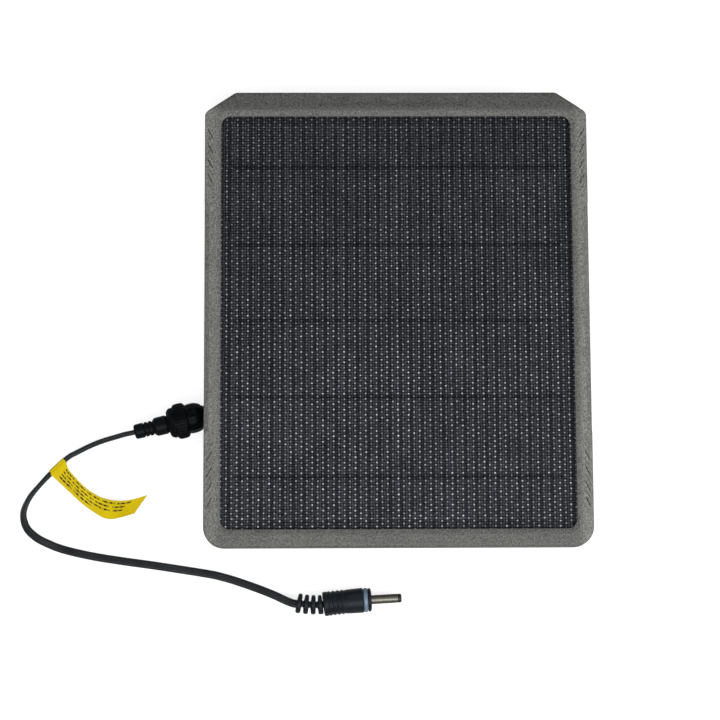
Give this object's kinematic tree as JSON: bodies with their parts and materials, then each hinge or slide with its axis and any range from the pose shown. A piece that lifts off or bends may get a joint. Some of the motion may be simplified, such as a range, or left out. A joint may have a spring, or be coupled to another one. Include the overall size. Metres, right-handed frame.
{
  "type": "solar charging panel",
  "caption": "Flat framed solar charging panel with a rear electronics housing, a short two-core lead on a waterproof screw coupling, and a DC barrel plug.",
  "frame": {"origin": "centre of the threaded insert's mouth in the rear face, on the plane that the panel rests on", "axes": "+Z out of the glazed face, +Y towards the edge with the cut corners, +X to the right seen from the front"},
  "size_m": [0.2254, 0.2066, 0.0229],
  "materials": {
    "frame_plastic": "fine spark-eroded grain",
    "film": "embossed, semi-gloss",
    "encapsulant": "clear",
    "cell": "dark, semi-gloss",
    "tinned_copper": "satin tinned",
    "board": "satin solder mask",
    "seal": "matt",
    "cover_plastic": "fine grain",
    "steel": "satin zinc plated",
    "brass": "turned",
    "component_black": "matt",
    "ferrite": "matt",
    "capacitor_can": "satin",
    "red_insulation": "semi-gloss",
    "gland_rubber": "matt",
    "lead_jacket": "soft satin PVC",
    "coupling_plastic": "fine matt",
    "coupling_rubber": "satin moulded",
    "gold_plate": "plated",
    "tag_film": "semi-gloss label film",
    "plug_moulding": "satin moulded PVC",
    "plug_seal": "matt silicone",
    "nickel": "nickel plated"
  },
  "bodies": {
    "panel": {"front_frame": "frame_plastic", "front_film": "film", "encapsulant_sheet": "encapsulant", "solar_cells": "cell", "cell_ribbons": "tinned_copper", "backing_board": "board", "window_seal": "seal", "rear_cover": "cover_plastic", "cover_seal": "seal", "cover_screws": "steel", "threaded_insert": "brass", "charge_board": "board", "board_screws": "steel", "converter_chip": "component_black", "power_inductor": "ferrite", "filter_capacitors": "capacitor_can", "blocking_diode": "component_black", "panel_wires": "red_insulation", "cable_gland": "gland_rubber", "pigtail_cable": "lead_jacket", "pigtail_cores": "red_insulation", "socket_body": "coupling_plastic", "socket_pins": "gold_plate"},
    "lead": {"male_body": "coupling_rubber", "male_insert": "coupling_plastic", "male_contacts": "gold_plate", "male_seal": "seal", "lead_cable": "lead_jacket", "lead_tag": "tag_film", "plug_grip": "plug_moulding", "plug_seal": "plug_seal", "plug_barrel": "nickel", "plug_insulator": "component_black", "plug_contact": "gold_plate"},
    "nut": {"coupling_nut": "coupling_plastic"}
  },
  "joints": [
    {"name": "lead_unplug", "type": "slide", "parent": "panel", "child": "lead", "axis": [-0.9715, -0.2368, 0], "range_m": [0, 0.012]},
    {"name": "nut_turn", "type": "hinge", "parent": "lead", "child": "nut", "pos_m": [-0.076, -0.037, 0.0071], "axis": [-0.9715, -0.2368, 0], "range_deg": [0, 1080]}
  ]
}
